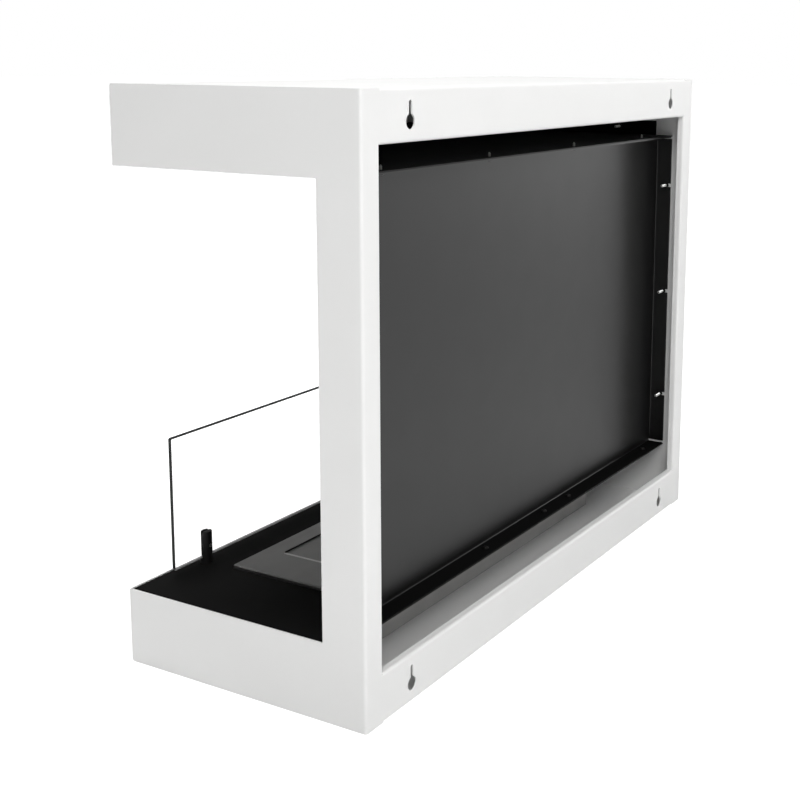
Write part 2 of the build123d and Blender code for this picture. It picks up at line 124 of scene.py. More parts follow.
# Heat-resistant black powder coat of fine texture, sprayed on the tray: its grit turns the gloss into a soft
# sheen. The real grit is about 0.2 mm across, and is drawn at 0.8 mm so that it shows. Clouds of the sheen
# are 40 mm wide.
def black_texture_coat(flange_level):
    material, tree = new_material("black_texture_coat")
    texture_place = add_node(tree, "ShaderNodeTexCoord").outputs
    place = texture_place["Object"]
    grit = add_node(tree, "ShaderNodeTexNoise", {
        "Vector": place, "Scale": 1.25 / MM, "Detail": 2.0,
    }).outputs["Fac"]
    cloud = add_node(tree, "ShaderNodeTexNoise", {
        "Vector": place, "Scale": 0.025 / MM, "Detail": 2.0,
    }).outputs["Fac"]
    tone = add_node(tree, "ShaderNodeValToRGB", {"Fac": grit}).outputs["Color"]
    tone.node.color_ramp.elements[0].color = coat_colour("#050505")
    tone.node.color_ramp.elements[1].color = coat_colour("#0d0d0d")
    sheen = add_node(tree, "ShaderNodeMapRange", {"Value": cloud, "To Min": 0.34, "To Max": 0.4}).outputs[0]
    bumps = add_node(tree, "ShaderNodeBump", {
        "Height": grit, "Strength": 0.3, "Distance": 0.05 * MM,
    }).outputs["Normal"]
    coat = add_node(tree, "ShaderNodeBsdfPrincipled", {
        "Base Color": tone, "Roughness": sheen, "IOR": 1.55, "Normal": bumps,
    })
    # Upward faces and the bottom flange have caught dry spray, which has almost no gloss
    dry = add_node(tree, "ShaderNodeBsdfPrincipled", {
        "Base Color": tone, "Roughness": 0.9, "Specular IOR Level": 0.05,
    })
    upward = add_node(tree, "ShaderNodeSeparateXYZ", {"Vector": texture_place["Normal"]}).outputs["Z"]
    top_side = add_node(tree, "ShaderNodeMath", {0: upward, 1: 0.95}, operation="GREATER_THAN").outputs[0]
    level = add_node(tree, "ShaderNodeSeparateXYZ", {"Vector": place}).outputs["Z"]
    low_edge = add_node(tree, "ShaderNodeMath", {0: level, 1: flange_level}, operation="LESS_THAN").outputs[0]
    sprayed = add_node(tree, "ShaderNodeMath", {0: top_side, 1: low_edge}, operation="MAXIMUM").outputs[0]
    tray = add_node(tree, "ShaderNodeMixShader", {0: sprayed, 1: coat.outputs[0], 2: dry.outputs[0]})
    add_node(tree, "ShaderNodeOutputMaterial", {"Surface": tray.outputs[0]})
    return material


# High-temperature matt black lacquer, baked on deck and ceiling: deep black, almost without a sheen but for
# the sheared edges towards the wall, where it is thin and shines
def black_matt_lacquer():
    material, tree = new_material("black_matt_lacquer")
    texture_place = add_node(tree, "ShaderNodeTexCoord").outputs
    place = texture_place["Object"]
    # Grit of 0.5 mm, and wiped patches of about 60 mm
    grit = add_node(tree, "ShaderNodeTexNoise", {
        "Vector": place, "Scale": 2 / MM, "Detail": 2.0,
    }).outputs["Fac"]
    patch = add_node(tree, "ShaderNodeTexNoise", {
        "Vector": place, "Scale": 0.016 / MM, "Detail": 3.0,
    }).outputs["Fac"]
    tone = add_node(tree, "ShaderNodeValToRGB", {"Fac": grit}).outputs["Color"]
    tone.node.color_ramp.elements[0].color = coat_colour("#070707")
    tone.node.color_ramp.elements[1].color = coat_colour("#0e0e0e")
    dull = add_node(tree, "ShaderNodeMapRange", {"Value": patch, "To Min": 0.82, "To Max": 0.92}).outputs[0]
    towards_wall = add_node(tree, "ShaderNodeSeparateXYZ", {"Vector": texture_place["Normal"]}).outputs["Y"]
    gloss = add_node(tree, "ShaderNodeMapRange", {
        "Value": towards_wall, "From Min": 0.8, "From Max": 0.95, "To Min": dull, "To Max": 0.36,
    }).outputs[0]
    bumps = add_node(tree, "ShaderNodeBump", {
        "Height": grit, "Strength": 0.5, "Distance": 0.05 * MM,
    }).outputs["Normal"]
    coat = add_node(tree, "ShaderNodeBsdfPrincipled", {
        "Base Color": tone, "Roughness": gloss, "IOR": 1.5, "Specular IOR Level": 0.16, "Normal": bumps,
    })
    add_node(tree, "ShaderNodeOutputMaterial", {"Surface": coat.outputs[0]})
    return material


# Smooth satin black coat on the turned posts: a soft highlight down each side, and a peel of 1.25 mm
def black_satin_coat():
    material, tree = new_material("black_satin_coat")
    place = add_node(tree, "ShaderNodeTexCoord").outputs["Object"]
    peel = add_node(tree, "ShaderNodeTexNoise", {
        "Vector": place, "Scale": 0.8 / MM, "Detail": 1.0,
    }).outputs["Fac"]
    tone = add_node(tree, "ShaderNodeValToRGB", {"Fac": peel}).outputs["Color"]
    tone.node.color_ramp.elements[0].color = coat_colour("#0c0c0c")
    tone.node.color_ramp.elements[1].color = coat_colour("#141414")
    gloss = add_node(tree, "ShaderNodeMapRange", {"Value": peel, "To Min": 0.34, "To Max": 0.42}).outputs[0]
    waves = add_node(tree, "ShaderNodeBump", {
        "Height": peel, "Strength": 0.4, "Distance": 0.01 * MM,
    }).outputs["Normal"]
    coat = add_node(tree, "ShaderNodeBsdfPrincipled", {
        "Base Color": tone, "Roughness": gloss, "IOR": 1.5, "Normal": waves,
    })
    add_node(tree, "ShaderNodeOutputMaterial", {"Surface": coat.outputs[0]})
    return material


# Cold-rolled stainless steel sheet, 2B finish: a dull grey sheen, with faint rolling marks along the sheet
def rolled_stainless(slider_low, slider_high):
    material, tree = new_material("rolled_stainless")
    texture_place = add_node(tree, "ShaderNodeTexCoord").outputs
    place = texture_place["Object"]
    # Rolling marks 1.5 mm wide and fifty times as long, and a handling haze of about 30 mm
    drawn = add_node(tree, "ShaderNodeMapping", {"Vector": place, "Scale": (1 / 50, 1, 1)}).outputs[0]
    marks = add_node(tree, "ShaderNodeTexNoise", {
        "Vector": drawn, "Scale": 0.67 / MM, "Detail": 3.0,
    }).outputs["Fac"]
    haze = add_node(tree, "ShaderNodeTexNoise", {
        "Vector": place, "Scale": 0.033 / MM, "Detail": 2.0,
    }).outputs["Fac"]
    tone = add_node(tree, "ShaderNodeValToRGB", {"Fac": haze}).outputs["Color"]
    tone.node.color_ramp.elements[0].color = coat_colour("#a2a2a1")
    tone.node.color_ramp.elements[1].color = coat_colour("#b4b4b2")

    # The opening in the burner's plate ends 5 mm inside the slider's own edges
    overlap = 5 * MM
    opening_x = slider_high.x - overlap
    opening_y = (slider_high.y - slider_low.y) / 2 - overlap
    middle_y = (slider_low.y + slider_high.y) / 2
    spot = add_node(tree, "ShaderNodeSeparateXYZ", {"Vector": place}).outputs
    from_middle = add_node(tree, "ShaderNodeMath", {0: spot["X"]}, operation="ABSOLUTE").outputs[0]
    plate_level = slider_high.z + 0.1 * MM
    on_plate = add_node(tree, "ShaderNodeMath", {
        0: spot["Z"], 1: plate_level,
    }, operation="GREATER_THAN").outputs[0]

    # Painted highlight: a strip of 4 mm at each end of the opening, up to 3 mm from its corners, is painted
    # near white for the light that the opening's edge catches
    strip = 4 * MM
    at_end = add_node(tree, "ShaderNodeMath", {
        0: from_middle, 1: opening_x + strip / 2, 2: strip / 2,
    }, operation="COMPARE").outputs[0]
    between_corners = add_node(tree, "ShaderNodeMath", {
        0: spot["Y"], 1: middle_y, 2: opening_y - 3 * MM,
    }, operation="COMPARE").outputs[0]
    painted_highlight_strip = on_plate
    for mask in (at_end, between_corners):
        painted_highlight_strip = add_node(tree, "ShaderNodeMath", {0: painted_highlight_strip, 1: mask}, operation="MULTIPLY").outputs[0]
    tone = add_node(tree, "ShaderNodeMix", {
        0: painted_highlight_strip, 6: tone, 7: coat_colour("#f2f2f0"),
    }, data_type="RGBA").outputs[2]

    # Painted shade: the cut edge around the opening, upright and within 1 mm of it, is painted dark for the
    # shade in the opening's wall
    edge_reach = 1 * MM
    tilt = add_node(tree, "ShaderNodeSeparateXYZ", {"Vector": texture_place["Normal"]}).outputs["Z"]
    upright = add_node(tree, "ShaderNodeMath", {0: tilt, 1: 0.0, 2: 0.3}, operation="COMPARE").outputs[0]
    within_x = add_node(tree, "ShaderNodeMath", {
        0: from_middle, 1: opening_x + edge_reach,
    }, operation="LESS_THAN").outputs[0]
    within_y = add_node(tree, "ShaderNodeMath", {
        0: spot["Y"], 1: middle_y, 2: opening_y + edge_reach,
    }, operation="COMPARE").outputs[0]
    shaded_cut_edge = on_plate
    for mask in (upright, within_x, within_y):
        shaded_cut_edge = add_node(tree, "ShaderNodeMath", {0: shaded_cut_edge, 1: mask}, operation="MULTIPLY").outputs[0]
    tone = add_node(tree, "ShaderNodeMix", {
        0: shaded_cut_edge, 6: tone, 7: coat_colour("#2c2b2a"),
    }, data_type="RGBA").outputs[2]

    sheen = add_node(tree, "ShaderNodeMapRange", {"Value": marks, "To Min": 0.26, "To Max": 0.36}).outputs[0]
    lines = add_node(tree, "ShaderNodeBump", {
        "Height": marks, "Strength": 0.5, "Distance": 0.006 * MM,
    }).outputs["Normal"]
    steel = add_node(tree, "ShaderNodeBsdfPrincipled", {
        "Base Color": tone, "Metallic": 1.0, "Roughness": sheen, "Normal": lines,
    })
    add_node(tree, "ShaderNodeOutputMaterial", {"Surface": steel.outputs[0]})
    return material


# Zinc plating on studs and set screws: bright metal with a slight cloud of 1.5 mm
def zinc_plating():
    material, tree = new_material("zinc_plating")
    place = add_node(tree, "ShaderNodeTexCoord").outputs["Object"]
    cloud = add_node(tree, "ShaderNodeTexNoise", {
        "Vector": place, "Scale": 0.66 / MM, "Detail": 2.0,
    }).outputs["Fac"]
    tone = add_node(tree, "ShaderNodeValToRGB", {"Fac": cloud}).outputs["Color"]
    tone.node.color_ramp.elements[0].color = coat_colour("#c9cac9")
    tone.node.color_ramp.elements[1].color = coat_colour("#e6e6e2")
    gloss = add_node(tree, "ShaderNodeMapRange", {"Value": cloud, "To Min": 0.2, "To Max": 0.36}).outputs[0]
    metal = add_node(tree, "ShaderNodeBsdfPrincipled", {
        "Base Color": tone, "Metallic": 1.0, "Roughness": gloss,
    })
    add_node(tree, "ShaderNodeOutputMaterial", {"Surface": metal.outputs[0]})
    return material


# Zinc-plated tapping screw with a lacquered head: black below its seat, and above it dull zinc painted darker
# than the studs' plating, as painted shade, with a cloud of 1.1 mm
def black_headed_zinc(seat_level):
    material, tree = new_material("black_headed_zinc")
    place = add_node(tree, "ShaderNodeTexCoord").outputs["Object"]
    cloud = add_node(tree, "ShaderNodeTexNoise", {
        "Vector": place, "Scale": 0.9 / MM, "Detail": 2.0,
    }).outputs["Fac"]
    tone = add_node(tree, "ShaderNodeValToRGB", {"Fac": cloud}).outputs["Color"]
    # Painted shade: a darker zinc than the studs' plating
    tone.node.color_ramp.elements[0].color = coat_colour("#9a9b99")
    tone.node.color_ramp.elements[1].color = coat_colour("#c9cac7")
    zinc = add_node(tree, "ShaderNodeBsdfPrincipled", {
        "Base Color": tone, "Metallic": 1.0, "Roughness": 0.42,
    })
    lacquer = add_node(tree, "ShaderNodeBsdfPrincipled", {
        "Base Color": coat_colour("#141414"), "Roughness": 0.36, "IOR": 1.6,
    })
    height = add_node(tree, "ShaderNodeSeparateXYZ", {"Vector": place}).outputs["Z"]
    above = add_node(tree, "ShaderNodeMath", {0: height, 1: seat_level}, operation="GREATER_THAN").outputs[0]
    screw = add_node(tree, "ShaderNodeMixShader", {0: above, 1: lacquer.outputs[0], 2: zinc.outputs[0]})
    add_node(tree, "ShaderNodeOutputMaterial", {"Surface": screw.outputs[0]})
    return material


# Black oxide on nuts and screws: dark oiled steel, with browner patches 0.9 mm across
def black_oxide():
    material, tree = new_material("black_oxide")
    place = add_node(tree, "ShaderNodeTexCoord").outputs["Object"]
    cloud = add_node(tree, "ShaderNodeTexNoise", {
        "Vector": place, "Scale": 1.1 / MM, "Detail": 2.0,
    }).outputs["Fac"]
    tone = add_node(tree, "ShaderNodeValToRGB", {"Fac": cloud}).outputs["Color"]
    tone.node.color_ramp.elements[0].color = coat_colour("#262627")
    tone.node.color_ramp.elements[1].color = coat_colour("#3a3938")
    gloss = add_node(tree, "ShaderNodeMapRange", {"Value": cloud, "To Min": 0.36, "To Max": 0.52}).outputs[0]
    metal = add_node(tree, "ShaderNodeBsdfPrincipled", {
        "Base Color": tone, "Metallic": 1.0, "Roughness": gloss,
    })
    add_node(tree, "ShaderNodeOutputMaterial", {"Surface": metal.outputs[0]})
    return material


# Toughened float glass: clear through its faces. The ground edges and the seams beside them are painted
# nearly black, painted shade for how dark they look from the side; the seam at the foot, half as dark, lets
# scattered light through and looks pale.
def float_glass(low, high):
    material, tree = new_material("float_glass")
    texture_place = add_node(tree, "ShaderNodeTexCoord").outputs
    across = add_node(tree, "ShaderNodeSeparateXYZ", {"Vector": texture_place["Normal"]}).outputs["Y"]
    facing = add_node(tree, "ShaderNodeMath", {0: across}, operation="ABSOLUTE").outputs[0]
    # A surface tilted by more than 23 degrees from the pane's plane counts as an edge
    face_limit = 0.92
    edge = add_node(tree, "ShaderNodeMath", {0: facing, 1: face_limit}, operation="LESS_THAN").outputs[0]
    top_seam_width, end_seam_width, foot_seam_width = 1.2 * MM, 0.6 * MM, 2.6 * MM
    foot_shade, foot_roughness = 0.5, 0.6
    spot = add_node(tree, "ShaderNodeSeparateXYZ", {"Vector": texture_place["Object"]}).outputs
    top_seam = add_node(tree, "ShaderNodeMath", {
        0: spot["Z"], 1: high.z - top_seam_width,
    }, operation="GREATER_THAN").outputs[0]
    from_middle = add_node(tree, "ShaderNodeMath", {0: spot["X"]}, operation="ABSOLUTE").outputs[0]
    end_seam = add_node(tree, "ShaderNodeMath", {
        0: from_middle, 1: high.x - end_seam_width,
    }, operation="GREATER_THAN").outputs[0]
    seam = add_node(tree, "ShaderNodeMath", {0: top_seam, 1: end_seam}, operation="MAXIMUM").outputs[0]
    rim = add_node(tree, "ShaderNodeMath", {0: seam, 1: edge}, operation="MAXIMUM").outputs[0]
    foot = add_node(tree, "ShaderNodeMath", {
        0: spot["Z"], 1: low.z + foot_seam_width,
    }, operation="LESS_THAN").outputs[0]
    above_foot = add_node(tree, "ShaderNodeMath", {0: 1.0, 1: foot}, operation="SUBTRACT").outputs[0]
    foot_grey = add_node(tree, "ShaderNodeMath", {0: foot, 1: foot_shade}, operation="MULTIPLY").outputs[0]
    dark = add_node(tree, "ShaderNodeMath", {
        0: rim, 1: above_foot, 2: foot_grey,
    }, operation="MULTIPLY_ADD").outputs[0]
    haze = add_node(tree, "ShaderNodeMath", {0: foot, 1: foot_roughness}, operation="MULTIPLY").outputs[0]
    # Marks of the grinding belt, 0.3 mm apart
    marks = add_node(tree, "ShaderNodeTexNoise", {
        "Vector": texture_place["Object"], "Scale": 3.3 / MM, "Detail": 1.0,
    }).outputs["Fac"]
    tone = add_node(tree, "ShaderNodeValToRGB", {"Fac": marks}).outputs["Color"]
    tone.node.color_ramp.elements[0].color = coat_colour("#0c0d0d")
    tone.node.color_ramp.elements[1].color = coat_colour("#161817")
    clear = add_node(tree, "ShaderNodeBsdfPrincipled", {
        "Base Color": coat_colour("#fdfdfd"), "Roughness": haze, "IOR": 1.5, "Transmission Weight": 1.0,
    })
    # Painted shade: a near-black coat for the edges and the seams beside them
    shaded_ground_edge = add_node(tree, "ShaderNodeBsdfPrincipled", {"Base Color": tone, "Roughness": 0.6, "IOR": 1.5})
    glass = add_node(tree, "ShaderNodeMixShader", {0: dark, 1: clear.outputs[0], 2: shaded_ground_edge.outputs[0]})
    add_node(tree, "ShaderNodeOutputMaterial", {"Surface": glass.outputs[0]})
    return material


# Silicone rubber under the pane: moulded, dull black with dust in specks of 0.8 mm
def silicone_rubber():
    material, tree = new_material("silicone_rubber")
    place = add_node(tree, "ShaderNodeTexCoord").outputs["Object"]
    dust = add_node(tree, "ShaderNodeTexNoise", {
        "Vector": place, "Scale": 1.2 / MM, "Detail": 1.0,
    }).outputs["Fac"]
    tone = add_node(tree, "ShaderNodeValToRGB", {"Fac": dust}).outputs["Color"]
    tone.node.color_ramp.elements[0].color = coat_colour("#101010")
    tone.node.color_ramp.elements[1].color = coat_colour("#1e1e1e")
    rubber = add_node(tree, "ShaderNodeBsdfPrincipled", {"Base Color": tone, "Roughness": 0.8, "IOR": 1.43})
    add_node(tree, "ShaderNodeOutputMaterial", {"Surface": rubber.outputs[0]})
    return material


# Ceramic fibre mat, needled: white matted threads that cross each other, and shallow folds
def ceramic_fibre():
    material, tree = new_material("ceramic_fibre")
    place = add_node(tree, "ShaderNodeTexCoord").outputs["Object"]
    # Threads 1 mm wide and 4 mm long, along the mat and across it
    runs = []
    for stretch in ((1 / 4, 1, 1), (1, 1 / 4, 1)):
        way = add_node(tree, "ShaderNodeMapping", {"Vector": place, "Scale": stretch}).outputs[0]
        runs.append(add_node(tree, "ShaderNodeTexNoise", {
            "Vector": way, "Scale": 1 / MM, "Detail": 4.0,
        }).outputs["Fac"])
    threads = add_node(tree, "ShaderNodeMath", {0: runs[0], 1: runs[1]}, operation="MAXIMUM").outputs[0]
    tone = add_node(tree, "ShaderNodeValToRGB", {"Fac": threads}).outputs["Color"]
    tone.node.color_ramp.elements[0].position = 0.4
    tone.node.color_ramp.elements[0].color = coat_colour("#c9c7c0")
    tone.node.color_ramp.elements[1].position = 0.7
    tone.node.color_ramp.elements[1].color = coat_colour("#efeeea")
    fluff = add_node(tree, "ShaderNodeBump", {
        "Height": threads, "Strength": 1.0, "Distance": 0.4 * MM,
    }).outputs["Normal"]
    fibre = add_node(tree, "ShaderNodeBsdfPrincipled", {
        "Base Color": tone, "Roughness": 0.95, "Sheen Weight": 0.3, "Normal": fluff,
    })
    add_node(tree, "ShaderNodeOutputMaterial", {"Surface": fibre.outputs[0]})
    return material


# A level just above the upper face of the tray's bottom flange
above_flange = 1.7 * MM
finishes = {
    "casing_white": white_powder_coat(),
    "tray_black": black_texture_coat(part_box("back_panel")[0].z + above_flange),
    "liner_black": black_matt_lacquer(),
    "post_black": black_satin_coat(),
    "burner_steel": rolled_stainless(*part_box("burner_slider")),
    "zinc_steel": zinc_plating(),
    "nut_black": black_oxide(),
    "screw_black": black_oxide(),
    "pane_glass": float_glass(*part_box("glass_pane")),
    "pad_rubber": silicone_rubber(),
    "ceramic_wool": ceramic_fibre(),
}
slot_of = {part["node"]: part["material_slot"] for part in frame["record"]["subparts"]}
# The key has worn the set screws' ends bright, so their black slot shows the plating
shown_as = {"set_screw_left": "zinc_steel", "set_screw_right": "zinc_steel"}
for name, node in nodes.items():
    for slot in node.material_slots:
        slot.material = finishes[shown_as.get(name, slot_of[name])]


# Fasteners and wool, made in place of the CAD's plain solids

def solids_of(name):
    """Lowest and highest corner of each separate solid in a CAD node."""
    bm = bmesh.new()
    bm.from_mesh(nodes[name].data)
    bmesh.ops.remove_doubles(bm, verts=bm.verts, dist=0.001 * MM)
    left, boxes = set(bm.verts), []
    while left:
        stack, found = [left.pop()], []
        while stack:
            vert = stack.pop()
            found.append(vert.co.copy())
            for edge in vert.link_edges:
                other = edge.other_vert(vert)
                if other in left:
                    left.remove(other)
                    stack.append(other)
        low = Vector(min(co[i] for co in found) for i in range(3))
        high = Vector(max(co[i] for co in found) for i in range(3))
        boxes.append((low, high))
    bm.free()
    return sorted(boxes, key=lambda box: tuple(round(c, 6) for c in box[0]))


def pointing(origin, along, side):
    """Matrix that puts +Z along a direction and +X to its side, at the origin given."""
    z = Vector(along).normalized()
    x = Vector(side).normalized()
    y = z.cross(x)
    return Matrix.Translation(origin) @ Matrix((x, y, z)).transposed().to_4x4()


def turned(outline, around, turns=1, climb=0, closed=False, merge=True):
    """Mesh of an outline, given as radius and z, that is turned about Z and climbs at each of its steps."""
    bm = bmesh.new()
    profile = [bm.verts.new((radius, 0, z)) for radius, z in outline]
    pairs = list(zip(profile, profile[1:])) + ([(profile[-1], profile[0])] if closed else [])
    edges = [bm.edges.new(pair) for pair in pairs]
    bmesh.ops.spin(
        bm, geom=profile + edges, cent=(0, 0, 0), axis=(0, 0, 1), dvec=(0, 0, climb),
        angle=2 * math.pi * turns, steps=around * turns, use_merge=merge,
    )
    return bm


def threaded_rod(radius, pitch, length, tip, around=14):
    """Rod from z = 0 to its length, with a thread cut into it and a chamfer at its far end."""
    depth = 0.6 * pitch
    root = radius - depth
    turns = math.ceil(length / pitch) + 2
    bm = turned(
        [(root, -pitch), (radius, -pitch / 2), (root, 0)], around, turns, climb=pitch / around, merge=False,
    )
    bmesh.ops.remove_doubles(bm, verts=bm.verts, dist=radius * 1e-3)
    for z, ends in ((0, {"clear_inner": True}), (length, {"clear_outer": True})):
        everything = bm.verts[:] + bm.edges[:] + bm.faces[:]
        bmesh.ops.bisect_plane(bm, geom=everything, plane_co=(0, 0, z), plane_no=(0, 0, 1), **ends)
    bmesh.ops.holes_fill(bm, edges=[e for e in bm.edges if e.is_boundary], sides=0)
    for vert in bm.verts:
        reach = math.hypot(vert.co.x, vert.co.y)
        most = radius - max(0, vert.co.z - (length - tip))
        if reach > most:
            vert.co.x *= most / reach
            vert.co.y *= most / reach
    bmesh.ops.recalc_face_normals(bm, faces=bm.faces)
    return bm


def hexagon_nut(flats, height, bore, around=24):
    """Nut from z = 0 to its height, with chamfered corners and a countersunk bore, given as its radius."""
    outer, lip = flats / 2, bore * 0.12
    land = outer * 0.96
    bm = turned([
        (bore, lip), (bore + lip, 0), (land, 0), (outer, 0),
        (outer, height), (land, height), (bore + lip, height), (bore, height - lip),
    ], around, closed=True)
    # The round outside is pulled out to six corners, and its rims are chamfered by 30 degrees
    for vert in bm.verts:
        reach = math.hypot(vert.co.x, vert.co.y)
        if reach > outer * 0.99:
            turn = math.atan2(vert.co.y, vert.co.x)
            out = outer / math.cos((turn % (math.pi / 3)) - math.pi / 6)
            drop = (out - outer) * math.tan(math.radians(30))
            vert.co.x, vert.co.y = out * math.cos(turn), out * math.sin(turn)
            vert.co.z = drop if vert.co.z < height / 2 else height - drop
    bmesh.ops.recalc_face_normals(bm, faces=bm.faces)
    return bm


def cross_head(radius, height, around=16):
    """Pan head with a cross recess, its seat at z = 0 and its top below that."""
    bm = turned([
        (0, 0), (radius, 0), (radius, -height * 0.45), (radius * 0.86, -height * 0.85),
        (radius * 0.55, -height), (radius * 0.22, -height), (0, -height),
    ], around)
    bmesh.ops.remove_doubles(bm, verts=bm.verts, dist=radius * 1e-3)
    # The recess is a hub and four arms, each one step of the spin wide, and narrows towards its floor
    hub, arm, near_top = radius * 0.2, radius * 0.5, -height * 0.9
    taper, depth = 0.7, height * 0.55
    arms = []
    for face in bm.faces:
        centre = face.calc_center_median()
        reach = math.hypot(centre.x, centre.y)
        quarter = (math.atan2(centre.y, centre.x) % (math.pi / 2)) / (2 * math.pi / around)
        if centre.z < near_top and (reach < hub or (reach < arm and quarter < 1)):
            arms.append(face)
    sunk = bmesh.ops.extrude_face_region(bm, geom=arms)["geom"]
    bmesh.ops.delete(bm, geom=arms, context="FACES_ONLY")
    floor = [item for item in sunk if isinstance(item, bmesh.types.BMVert)]
    bmesh.ops.scale(bm, verts=floor, vec=(taper, taper, 1))
    bmesh.ops.translate(bm, verts=floor, vec=(0, 0, depth))
    bmesh.ops.recalc_face_normals(bm, faces=bm.faces)
    return bm


def add_copy(target, source, place):
    """Adds the source to the target at the place given, and frees the source."""
    mesh = bpy.data.meshes.new("template")
    source.to_mesh(mesh)
    source.free()
    mesh.transform(place)
    target.from_mesh(mesh)
    bpy.data.meshes.remove(mesh)


def on_side_panels(node, make_fastener):
    """Mesh of a node's fasteners, each made to its length, with their feet towards the side panels."""
    bm = bmesh.new()
    for low, high in solids_of(node):
        middle = (low + high) / 2
        end = math.copysign(1, middle.x)
        foot = Vector((high.x if end > 0 else low.x, middle.y, middle.z))
        add_copy(bm, make_fastener(high.x - low.x), pointing(foot, (-end, 0, 0), (0, 1, 0)))
    return bm


def upright_screws(node, up, head_radius, head_height, radius, pitch, tip):
    """Mesh of a node's screws, which point up or down, and the level of their seats."""
    bm = bmesh.new()
    for low, high in solids_of(node):
        middle = (low + high) / 2
        seat = Vector((middle.x, middle.y, low.z + head_height if up > 0 else high.z - head_height))
        place = pointing(seat, (0, 0, up), (1, 0, 0))
        add_copy(bm, cross_head(head_radius, head_height), place)
        add_copy(bm, threaded_rod(radius, pitch, high.z - low.z - head_height, tip), place)
    return bm, seat.z


def add_piece(name, bm, body, slot, smooth_below=35):
    """Object made of the finished mesh, riding on its body."""
    mesh = bpy.data.meshes.new(name)
    bm.to_mesh(mesh)
    bm.free()
    mesh.materials.append(finishes[slot])
    for face in mesh.polygons:
        face.use_smooth = True
    mesh.set_sharp_from_angle(angle=math.radians(smooth_below))
    piece = bpy.data.objects.new(name, mesh)
    scene.collection.objects.link(piece)
    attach(piece, body)
    return piece


# Welded studs: M4, with their welded ends on the side panels
m4_radius, m4_pitch, stud_tip = 2 * MM, 0.7 * MM, 0.5 * MM
for node in ("back_panel_studs", "ceiling_plate_studs", "deck_plate_studs"):
    bm = on_side_panels(node, lambda length: threaded_rod(m4_radius, m4_pitch, length, stud_tip))
    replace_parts(add_piece(node + "_threaded", bm, "casing", "zinc_steel"), node)

# Nuts on the studs
nut_flats, nut_bore = 7 * MM, 2.05 * MM
for node in ("back_panel_nuts", "ceiling_plate_nuts", "deck_plate_nuts"):
    bm = on_side_panels(node, lambda height: hexagon_nut(nut_flats, height, nut_bore))
    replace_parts(add_piece(node + "_chamfered", bm, "casing", "nut_black", smooth_below=25), node)

# Tapping screws of the tray, pointing up at its top flange and down at its bottom flange
tapping_screw = {
    "head_radius": 3.4 * MM, "head_height": 2.2 * MM,
    "radius": 1.75 * MM, "pitch": 1.3 * MM, "tip": 1.5 * MM,
}
for node, up, slot in (
    ("back_panel_top_screws", 1, "zinc_steel"), ("back_panel_bottom_screws", -1, "screw_black"),
):
    bm, seat_level = upright_screws(node, up, **tapping_screw)
    piece = add_piece(node + "_threaded", bm, "casing", slot)
    if up > 0:
        piece.data.materials[0] = black_headed_zinc(seat_level)
    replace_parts(piece, node)

# M4 screws that hold the posts from below the deck
post_screw = {
    "head_radius": 3.8 * MM, "head_height": 2.6 * MM,
    "radius": m4_radius, "pitch": m4_pitch, "tip": 0.4 * MM,
}
bm, _ = upright_screws("post_screws", 1, **post_screw)
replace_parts(add_piece("post_screws_threaded", bm, "casing", "screw_black"), "post_screws")

# Ceramic wool: a cut mat with softened edges. Its top, down to the loose depth, is cut into a grid and sags
# unevenly, by a noise that is raised so that nearly all of it sinks.
corner_radius, top_edge_radius, loose_depth = 8 * MM, 4 * MM, 5 * MM
wide_lump, small_lump, sag, grid_step, raised_by = 22 * MM, 9 * MM, 1.6 * MM, 10 * MM, 1.2
low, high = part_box("burner_wool")
size = high - low
bm = bmesh.new()
bmesh.ops.create_cube(bm, size=1)
bmesh.ops.scale(bm, verts=bm.verts, vec=size)
bmesh.ops.translate(bm, verts=bm.verts, vec=(low + high) / 2)
upright_edges = [e for e in bm.edges if abs(e.verts[0].co.z - e.verts[1].co.z) > size.z / 2]
bmesh.ops.bevel(
    bm, geom=upright_edges, offset=corner_radius, segments=4, profile=0.5, affect="EDGES", material=-1,
)
top_edges = [e for e in bm.edges if all(v.co.z > high.z - MM for v in e.verts)]
bmesh.ops.bevel(
    bm, geom=top_edges, offset=top_edge_radius, segments=3, profile=0.5, affect="EDGES", material=-1,
)
for axis in (0, 1):
    count = int(size[axis] / grid_step)
    for i in range(1, count):
        co, no = Vector((0, 0, 0)), Vector((0, 0, 0))
        co[axis] = low[axis] + size[axis] * i / count
        no[axis] = 1
        bmesh.ops.bisect_plane(bm, geom=bm.verts[:] + bm.edges[:] + bm.faces[:], plane_co=co, plane_no=no)
for vert in bm.verts:
    if vert.co.z > high.z - loose_depth:
        lump = noise.noise(vert.co / wide_lump) + 0.5 * noise.noise(vert.co / small_lump)
        vert.co.z -= sag * (lump + raised_by) / 2
bmesh.ops.recalc_face_normals(bm, faces=bm.faces)
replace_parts(add_piece("burner_wool_mat", bm, "burner", "ceramic_wool", smooth_below=60), "burner_wool")


# Floor, light and camera

def seen_by_camera(tree):
    """Output that is 1 where the camera sees the surface straight on or through the pane."""
    path = add_node(tree, "ShaderNodeLightPath").outputs
    bounces = add_node(tree, "ShaderNodeMath", {
        0: path["Diffuse Depth"], 1: path["Glossy Depth"],
    }, operation="ADD").outputs[0]
    straight = add_node(tree, "ShaderNodeMath", {0: bounces, 1: 0.5}, operation="LESS_THAN").outputs[0]
    return add_node(tree, "ShaderNodeMath", {
        0: path["Is Transmission Ray"], 1: straight, 2: path["Is Camera Ray"],
    }, operation="MULTIPLY_ADD").outputs[0]


# The floor lies a hair below the object's lowest point
floor_level = cad_box[0][2] - 0.2 * MM
floor_size = 30
floor_mesh = bpy.data.meshes.new("studio_floor")
bm = bmesh.new()
bmesh.ops.create_grid(bm, x_segments=1, y_segments=1, size=floor_size)
bmesh.ops.translate(bm, verts=bm.verts, vec=(0, 0, floor_level))
bm.to_mesh(floor_mesh)
bm.free()
studio_floor = bpy.data.objects.new("studio_floor", floor_mesh)
scene.collection.objects.link(studio_floor)

